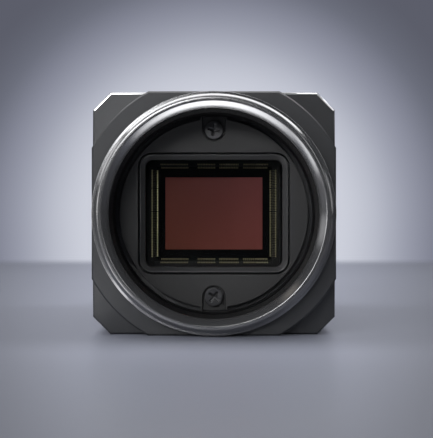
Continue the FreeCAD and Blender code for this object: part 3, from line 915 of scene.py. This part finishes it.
@dataclass
class FilterWindow:
    """The retainer plate, its screws, the window frame and the glass.

    Attributes:
        plate_edge: Width of the retainer plate's rounded edges.
        frame_edge: Width of the frame's rounded outer edge.
        inner_edge: Width of the frame's rounded inner edge.
        screw_edge: Width of the rounded edges of the plate's screws.
        opening: Half the frame's opening, across and up.
        corner: Radius of the opening's corners.
        lip: Width of the frame's lip.
        ridge: Width of the flat ridge on the lip.
        crown: Width and depth of the soft step between ridge and taper.
        taper_depth: How deep the lip's tapered side goes.
        frame_front: Depth of the frame's front.
        flange_front: Depth of its flange's front.
        frame_back: Depth of its back.
    """

    plate_edge: float = 0.1
    frame_edge: float = 0.06
    inner_edge: float = 0.05
    screw_edge: float = 0.08
    opening: tuple[float, float] = (8.65, 6.77)
    corner: float = 0.9
    lip: float = 0.65
    ridge: float = 0.05
    crown: tuple[float, float] = (0.02, 0.012)
    taper_depth: float = 0.55
    frame_front: float = 10.0
    flange_front: float = 11.2
    frame_back: float = 12.0

    def build(self, shop: Workshop) -> None:
        """Builds the window group in the workshop."""
        edged(shop, "retainer_plate", "filter_retainer", self.plate_edge, RETAINER_BLACK)
        self.build_frame(shop)
        edged(shop, "retainer_plate_screws", "retainer_screws", self.screw_edge, SCREW_DARK)
        shop.dress("filter_window", FILTER_CLEAR)
        shop.dress("filter_seal", SEAL_BLACK)

    def build_frame(self, shop: Workshop) -> None:
        """Builds the window frame: a lip with a tapered inner side, and the clamped flange behind it."""
        frame = bmesh.new()
        half_x, half_z = self.opening[0] + self.lip, self.opening[1] + self.lip
        face = rounded_face(frame, half_x, half_z, self.corner + self.lip, self.frame_back)
        face = stepped(frame, face, 0.0, self.frame_front + self.frame_edge - self.frame_back)
        face = stepped(frame, face, self.frame_edge * 0.3, -self.frame_edge * 0.7)
        face = stepped(frame, face, self.frame_edge * 0.7, -self.frame_edge * 0.3)
        face = stepped(frame, face, self.ridge, 0.0)
        taper = self.lip - self.frame_edge - self.ridge - self.inner_edge
        face = stepped(frame, face, *self.crown)
        face = stepped(frame, face, taper - self.crown[0], self.taper_depth - self.crown[1])
        face = stepped(frame, face, self.inner_edge, self.inner_edge)
        face = stepped(frame, face, 0.0, self.frame_back - face.verts[0].co.y)
        bmesh.ops.delete(frame, geom=[face], context="FACES_ONLY")
        rims = [edge for edge in frame.edges if edge.is_boundary]
        bmesh.ops.bridge_loops(frame, edges=rims)
        bmesh.ops.recalc_face_normals(frame, faces=frame.faces)
        flange = shop.cad_copy("window_frame", False)
        geom = flange.verts[:] + flange.edges[:] + flange.faces[:]
        bmesh.ops.bisect_plane(flange, geom=geom, plane_co=(0, self.flange_front + NEAR, 0),
                               plane_no=(0, 1, 0), clear_inner=True)
        merge_into(frame, flange)
        shop.piece("window_surround", frame, [FRAME_BLACK], ["window_frame"])


@dataclass
class ImageSensor:
    """The sensor package with its die, bond pads and lid glass. The pads at the left have the full gold; the
    other pads and the wires have a darker copy of it, painted shade.

    Attributes:
        shelf: Depth of the package's bond shelf.
        face: Depth of the die's face.
        shelf_x: Distance of the side pad rows on the shelf from the axis.
        die_x: Distance of the side pad rows on the die from the axis.
        shelf_z: Distance of the upper and lower pad rows on the shelf.
        die_z: Distance of the upper and lower pad rows on the die.
        pad: Size of a bond pad.
        pad_height: How far a bond pad stands out.
        pad_gap: Distance between neighbouring pads.
        side_groups: Spans of the side rows, as heights.
        end_groups: Spans of the upper and lower rows, as places across.
        fan: How much closer together the pads are on the die than on the shelf.
        wire_r: Radius of a bond wire.
        arch: The wire's knees, as their share of the way and how far they rise.
        package_edge: Width of the package's rounded edges.
    """

    shelf: float = 17.446
    face: float = 17.526
    shelf_x: float = 8.17
    die_x: float = 7.46
    shelf_z: float = 6.49
    die_z: float = 6.03
    pad: float = 0.15
    pad_height: float = 0.012
    pad_gap: float = 0.2
    side_groups: tuple[tuple[float, float], ...] = ((-5.7, -3.45), (-3.2, 0.1), (0.4, 3.2), (3.5, 5.7))
    end_groups: tuple[tuple[float, float], ...] = (
        (-7.0, -3.5), (-2.1, 0.1), (0.8, 3.2), (4.0, 5.3), (5.6, 7.1))
    fan: float = 0.985
    wire_r: float = 0.01
    arch: tuple[tuple[float, float], ...] = ((0.3, 0.14), (0.75, 0.126))
    package_edge: float = 0.05

    def places(self, groups: Iterable[tuple[float, float]]) -> list[float]:
        """Spreads pads evenly over groups.

        Args:
            groups: Spans as (start, end).

        Returns:
            The pads' places.
        """
        found = []
        for start, end in groups:
            count = max(2, round((end - start) / self.pad_gap))
            found += [start + (end - start) * step / (count - 1) for step in range(count)]
        return found

    def bonds(self) -> list[tuple[Vector, Vector]]:
        """Returns the bonds, first at the sides, each as its places on the shelf and on the die."""
        sides = [(Vector((side * self.shelf_x, self.shelf, z)),
                  Vector((side * self.die_x, self.face, z * self.fan)))
                 for side in (-1, 1) for z in self.places(self.side_groups)]
        ends = [(Vector((x, self.shelf, side * self.shelf_z)),
                 Vector((x * self.fan, self.face, side * self.die_z)))
                for side in (-1, 1) for x in self.places(self.end_groups)]
        return sides + ends

    def add_pad(self, shape: bmesh.types.BMesh, place: Vector, shaded: bool) -> None:
        """Adds one flat pad.

        Args:
            shape: The bmesh to add to.
            place: The middle of the pad's foot.
            shaded: Whether it has the darker copy of the gold, painted shade.
        """
        half = self.pad / 2
        made = box_between(shape, (place.x - half, place.y - self.pad_height, place.z - half),
                           (place.x + half, place.y, place.z + half))
        for face in {face for vert in made for face in vert.link_faces}:
            face.material_index = int(shaded)

    def add_wire(self, shape: bmesh.types.BMesh, start: Vector, end: Vector) -> None:
        """Adds one arched bond wire of three straight runs.

        Args:
            shape: The bmesh to add to.
            start: Its place on the shelf.
            end: Its place on the die.
        """
        knees = [start.lerp(end, share) - Vector((0, rise, 0)) for share, rise in self.arch]
        path = [start, *knees, end]
        for first, last in zip(path, path[1:]):
            run = last - first
            turn = run.to_track_quat("Z", "Y").to_matrix().to_4x4()
            matrix = Matrix.Translation((first + last) / 2) @ turn
            bmesh.ops.create_cone(shape, cap_ends=True, segments=4, radius1=self.wire_r, radius2=self.wire_r,
                                  depth=run.length, matrix=matrix)

    def build(self, shop: Workshop) -> None:
        """Builds the sensor in the workshop."""
        edged(shop, "ceramic_package", "sensor_package", self.package_edge, CERAMIC_DARK)
        shop.dress("sensor_die", SILICON)
        shop.dress("sensor_cover_glass", COVER_CLEAR)
        pads, wires = bmesh.new(), bmesh.new()
        for start, end in self.bonds():
            # Painted shade: all pads but the left side rows get the darker gold.
            shaded = start.x > -self.die_x
            self.add_pad(pads, start, shaded)
            self.add_pad(pads, end, shaded)
            self.add_wire(wires, start, end)
        shop.piece("bond_pads", pads, [GOLD, SHADED_GOLD])
        shop.piece("bond_wires", wires, [SHADED_GOLD])


@dataclass
class RearBody:
    """The rear housing, rear plate, seals and body screws.

    Attributes:
        edge_width: Width of the body's rounded edges.
        screw_edge: Width of the screws' rounded edges.
        screw_angle: Edges of the screws that are sharper than this many degrees are rounded.
        outer: Edges further from the optical axis than this, across or up, are on the outside.
    """

    edge_width: float = 0.08
    screw_edge: float = 0.1
    screw_angle: float = 40.0
    outer: float = 13.0

    def build(self, shop: Workshop) -> None:
        """Builds the rear body in the workshop."""
        for name, node in (("housing_tube", "main_housing"), ("back_plate", "rear_plate")):
            edged(shop, name, node, self.edge_width, MILLED, wanted=self.is_outer)
        edged(shop, "body_socket_screws", "body_screws", self.screw_edge, SCREW_DARK,
              self.screw_angle)
        shop.dress("front_seal", SEAL_BLACK)
        shop.dress("rear_seal", SEAL_BLACK)

    def is_outer(self, edge: bmesh.types.BMEdge) -> bool:
        """Tells whether an edge is on the body's outside, where it shows."""
        return all(max(abs(vert.co.x), abs(vert.co.z)) > self.outer for vert in edge.verts)


@dataclass
class BoardStack:
    """The three boards with what sits on them, all inside the closed housing.

    Attributes:
        boards: The printed boards.
        spacers: The spacers between them.
        chips: What is moulded in resin.
        links: The connectors between the boards.
    """

    boards: tuple[str, ...] = ("sensor_board", "processor_board", "interface_board")
    spacers: tuple[str, ...] = ("sensor_board_spacers", "processor_board_spacers", "interface_board_spacers")
    chips: tuple[str, ...] = ("image_processor", "memory_chips", "network_transformer", "power_inductor")
    links: tuple[str, ...] = ("sensor_board_header", "processor_board_socket", "interface_header",
                              "interface_socket")

    def build(self, shop: Workshop) -> None:
        """Dresses the board stack in the workshop."""
        for names, finish in ((self.boards, BOARD_GREEN), (self.spacers, BRASS), (self.chips, CHIP_BLACK),
                              (self.links, INSERT_BLACK), (("stack_screws",), SCREW_DARK),
                              (("status_led",), LED_WHITE), (("status_light_pipe",), LIGHT_CLEAR)):
            for name in names:
                shop.dress(name, finish)


@dataclass
class RearConnectors:
    """The network socket and the power plug on the rear plate.

    Attributes:
        edge_width: Width of the shells' rounded edges.
        insert_edge: Width of the inserts' rounded edges.
        angle: Edges sharper than this many degrees are rounded.
    """

    edge_width: float = 0.12
    insert_edge: float = 0.05
    angle: float = 40.0

    def build(self, shop: Workshop) -> None:
        """Builds the connectors in the workshop."""
        for name, node in (("network_barrel", "m12_shell"), ("power_barrel", "m8_shell")):
            edged(shop, name, node, self.edge_width, NICKEL, self.angle)
        for name, node in (("network_core", "m12_insert"), ("power_core", "m8_insert")):
            edged(shop, name, node, self.insert_edge, INSERT_BLACK, self.angle)
        shop.dress("m12_shield_cross", NICKEL)
        shop.dress("m12_contacts", CONTACT_GOLD)
        shop.dress("m8_pins", CONTACT_GOLD)


@dataclass(frozen=True)
class Lamp:
    """A soft lamp, with its places in metres.

    Attributes:
        name: Its name.
        place: Where it hangs.
        target: What it points at.
        size: Its width and height.
        watts: Its power.
        colour: Its colour.
        spread: How wide its light fans out, in degrees.
    """

    name: str
    place: Triple
    target: Triple
    size: tuple[float, float]
    watts: float
    colour: Colour = (1.0, 1.0, 1.0)
    spread: float = 180.0

    def add(self) -> None:
        """Hangs the lamp in the scene."""
        data = bpy.data.lights.new(self.name, "AREA")
        data.spread = math.radians(self.spread)
        data.shape = "RECTANGLE"
        data.size, data.size_y = self.size
        data.energy = self.watts
        data.color = self.colour
        lamp = bpy.data.objects.new(self.name, data)
        lamp.visible_camera = False
        lamp.location = self.place
        towards = Vector(self.target) - Vector(self.place)
        lamp.rotation_euler = towards.to_track_quat("-Z", "Y").to_euler()
        bpy.context.scene.collection.objects.link(lamp)


MOUTH = (0, -0.02, 0.0145)
LAMPS = (
    Lamp("top_softbox", (0.0, 0.05, 0.27), (0.0, 0.05, 0.0), (0.54, 0.12), 1.2),
    Lamp("front_left_softbox", (-0.23, -0.33, 0.2), MOUTH, (0.22, 0.24), 0.76),
    Lamp("front_top_softbox", (-0.05, -0.2, 0.27), MOUTH, (0.16, 0.08), 0.07),
    Lamp("camera_softbox", (-0.06, -0.34, 0.1), MOUTH, (0.1, 0.05), 0.011, spread=40.0),
    Lamp("low_left_softbox", (-0.2, -0.2, 0.03), MOUTH, (0.1, 0.05), 0.13),
    Lamp("front_right_softbox", (0.24, -0.34, 0.16), MOUTH, (0.12, 0.16), 0.2),
    Lamp("mouth_card", (0.001, -0.0262, 0.006), (0.001, -0.0262, 0.1), (0.022, 0.006), 0.00105, spread=100.0),
    Lamp("floor_card", (-0.024, -0.038, 0.0006), (-0.024, -0.038, 0.1), (0.02, 0.02), 0.004),
    Lamp("warm_card", (-0.2, -0.06, 0.22), (0.008, -0.02, 0.006), (0.08, 0.05), 0.008, (1.0, 0.9, 0.78)),
    Lamp("left_strip", (-0.3, -0.07, 0.06), MOUTH, (0.1, 0.08), 0.028),
    Lamp("left_high_strip", (-0.3, 0.03, 0.17), MOUTH, (0.08, 0.14), 0.1),
    Lamp("right_strip", (0.3, 0.0, 0.07), MOUTH, (0.04, 0.1), 0.02),
    Lamp("rear_softbox", (0.05, 0.42, 0.36), (0, 0.02, 0.0145), (0.4, 0.2), 0.7),
)


@dataclass
class Studio:
    """The floor, the backdrop, the lamps and the camera, with its places in metres.

    Attributes:
        pixels_high: The picture's height.
        pixels_per_mm: The scale in the flange plane.
        distance: The camera's distance from the flange plane in millimetres.
        shift: How far the picture is shifted, in pixels to the right and up.
        sensor_width: The camera's sensor width in millimetres.
        clip_start: The nearest that the camera sees.
        floor_front: How far the floor reaches to the front.
        floor_back: Where it starts to bend up.
        floor_bend: The radius of that bend.
        floor_half: Half its width.
        backdrop_top: The height of the backdrop.
        bend_steps: How many steps the bend has.
        floor_front_shade: The floor's colour in front, darkened as painted shade.
        floor_far: Its colour further back.
        floor_fade: Where the one goes over into the other, front to back.
        floor_side_shade: Its colour at the sides, darkened as painted shade.
        side_fade: Where it goes over into that, as a share of the distance to the eye.
        eye_back: How far in front of the part's origin the eye of those shares is.
        least_reach: The least distance to that eye.
        glow_height: The height of the middle of the backdrop's glow.
        backdrop_tones: The glow's colours, by how far from its middle they are, as such shares.
        horizon: Where the floor goes over into the glow, front to back.
        room_light: The strength of the room's even light.
        room_colour: Its colour.
        wall_colour: What the camera sees past the backdrop.
    """

    pixels_high: float = 438.0
    pixels_per_mm: float = 8.609
    distance: float = 125.0
    shift: tuple[float, float] = (2.6, -5.6)
    sensor_width: float = 36.0
    clip_start: float = 0.01
    floor_front: float = -1.2
    floor_back: float = 0.75
    floor_bend: float = 0.25
    floor_half: float = 2.2
    backdrop_top: float = 1.6
    bend_steps: int = 16
    floor_front_shade: Colour = (0.125, 0.132, 0.16)
    floor_far: Colour = (0.25, 0.263, 0.32)
    floor_fade: tuple[float, float] = (-0.085, -0.035)
    floor_side_shade: Colour = (0.07, 0.074, 0.09)
    side_fade: tuple[float, float] = (0.07, 0.3)
    eye_back: float = 0.1475
    least_reach: float = 0.05
    glow_height: float = 0.0075
    backdrop_tones: tuple[tuple[float, Colour], ...] = (
        (0.0, (0.64, 0.66, 0.74)), (0.12, (0.62, 0.64, 0.72)), (0.15, (0.48, 0.5, 0.58)),
        (0.175, (0.33, 0.345, 0.42)), (0.2, (0.235, 0.245, 0.31)), (0.225, (0.14, 0.15, 0.19)),
        (0.26, (0.1, 0.104, 0.135)))
    horizon: tuple[float, float] = (0.15, 0.2)
    room_light: float = 0.07
    room_colour: Colour = (0.85, 0.9, 1.0)
    wall_colour: Colour = (0.45, 0.47, 0.54)

    def build(self, shop: Workshop) -> None:
        """Builds the studio round the part."""
        self.add_floor()
        self.add_world()
        for lamp in LAMPS:
            lamp.add()
        self.add_camera(shop)

    def add_floor(self) -> None:
        """Adds the floor, which bends up into the backdrop."""
        shape = bmesh.new()
        bend = self.floor_bend
        section = [(self.floor_front, 0.0), (self.floor_back, 0.0)]
        for step in range(1, self.bend_steps + 1):
            angle = math.radians(90 * step / self.bend_steps)
            section.append((self.floor_back + bend * math.sin(angle), bend - bend * math.cos(angle)))
        section.append((self.floor_back + bend, self.backdrop_top))
        verts = [shape.verts.new((-self.floor_half, along, up)) for along, up in section]
        edges = [shape.edges.new(pair) for pair in zip(verts, verts[1:])]
        made = bmesh.ops.extrude_edge_only(shape, edges=edges)["geom"]
        moved = [item for item in made if isinstance(item, bmesh.types.BMVert)]
        bmesh.ops.translate(shape, vec=(2 * self.floor_half, 0, 0), verts=moved)
        bmesh.ops.recalc_face_normals(shape, faces=shape.faces)
        floor = new_object("studio_floor", shape, [self.floor_material()])

    def floor_material(self) -> bpy.types.Material:
        """Returns the floor's pale satin material, which goes over into the backdrop's glow. It is painted
        darker in front and at the sides, a painted pool of light round the part.
        """
        sheet = NodeSheet("studio_floor")
        parts = sheet.parts()
        reach = sheet.maths("MAXIMUM", sheet.maths("ADD", parts["Y"], self.eye_back), self.least_reach)
        across = sheet.maths("DIVIDE", parts["X"], reach)
        up = sheet.maths("DIVIDE", sheet.maths("SUBTRACT", parts["Z"], self.glow_height), reach)
        # Painted pool of light: darker in front and towards the sides, lighter under and behind the part.
        middle = sheet.blend(sheet.share(parts["Y"], self.floor_fade, False), self.floor_front_shade, self.floor_far)
        side = sheet.share(sheet.maths("ABSOLUTE", across), self.side_fade, True)
        satin = sheet.add("BsdfPrincipled", Roughness=0.35, Specular_IOR_Level=0.3,
                          Base_Color=sheet.blend(side, middle, self.floor_side_shade))
        glow = sheet.add("Emission", Strength=1.0, Color=self.glow_colour(sheet, sheet.distance(across, up)))
        rays = sheet.add("LightPath").outputs
        seen = sheet.maths("MAXIMUM", rays["Is Camera Ray"],
                           sheet.maths("MAXIMUM", rays["Is Glossy Ray"], rays["Is Transmission Ray"]))
        far = sheet.share(parts["Y"], self.horizon, True)
        return sheet.finish(sheet.layered(sheet.maths("MULTIPLY", far, seen), satin, glow))

    def glow_colour(self, sheet: NodeSheet, off_middle: bpy.types.NodeSocket) -> bpy.types.NodeSocket:
        """Returns the colour of the backdrop's glow.

        Args:
            sheet: The sheet to add to.
            off_middle: How far from the glow's middle a place is.

        Returns:
            The colour's socket.
        """
        edge = self.backdrop_tones[-1][0]
        ramp = sheet.add("ValToRGB", Fac=sheet.maths("DIVIDE", off_middle, edge))
        ramp.color_ramp.interpolation = "B_SPLINE"
        stops = ramp.color_ramp.elements
        for stop, (place, colour) in zip(stops, (self.backdrop_tones[0], self.backdrop_tones[-1])):
            stop.position, stop.color = place / edge, (*colour, 1.0)
        for place, colour in self.backdrop_tones[1:-1]:
            stops.new(place / edge).color = (*colour, 1.0)
        return ramp.outputs["Color"]

    def add_world(self) -> None:
        """Adds the even light of the room."""
        world = bpy.data.worlds.new("room")
        world.use_nodes = True
        tree = world.node_tree
        room = tree.nodes["Background"]
        room.inputs["Color"].default_value = (*self.room_colour, 1.0)
        room.inputs["Strength"].default_value = self.room_light
        wall = tree.nodes.new("ShaderNodeBackground")
        wall.inputs["Color"].default_value = (*self.wall_colour, 1.0)
        rays = tree.nodes.new("ShaderNodeLightPath")
        mix = tree.nodes.new("ShaderNodeMixShader")
        tree.links.new(rays.outputs["Is Camera Ray"], mix.inputs[0])
        tree.links.new(room.outputs[0], mix.inputs[1])
        tree.links.new(wall.outputs[0], mix.inputs[2])
        tree.links.new(mix.outputs[0], tree.nodes["World Output"].inputs["Surface"])
        bpy.context.scene.world = world

    def add_camera(self, shop: Workshop) -> None:
        """Adds the camera on the optical axis, in front of the lens flange."""
        data = bpy.data.cameras.new("view")
        data.sensor_width = self.sensor_width
        data.lens = self.pixels_per_mm * self.distance * data.sensor_width / self.pixels_high
        data.shift_x = self.shift[0] / self.pixels_high
        data.shift_y = self.shift[1] / self.pixels_high
        data.clip_start = self.clip_start
        camera = bpy.data.objects.new("view", data)
        camera.location = (0.0, shop.flange_y - self.distance * MM, shop.axis_z)
        camera.rotation_euler = (math.pi / 2, 0.0, 0.0)
        bpy.context.scene.collection.objects.link(camera)
        bpy.context.scene.camera = camera
        bpy.context.scene.view_settings.view_transform = "Standard"


def main() -> None:
    """Builds the whole scene in order."""
    logging.basicConfig(level=logging.INFO, format="%(name)s %(message)s")
    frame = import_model()
    low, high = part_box("front_housing")
    shop = Workshop(frame["nodes"], low.y, (low.z + high.z) / 2)
    for group in (FrontHousing(), FilterWindow(), ImageSensor(), RearBody(), BoardStack(), RearConnectors(),
                  Studio()):
        LOG.info("building %s", type(group).__name__)
        group.build(shop)
    bpy.context.view_layer.update()


if __name__ == "__main__":
    main()
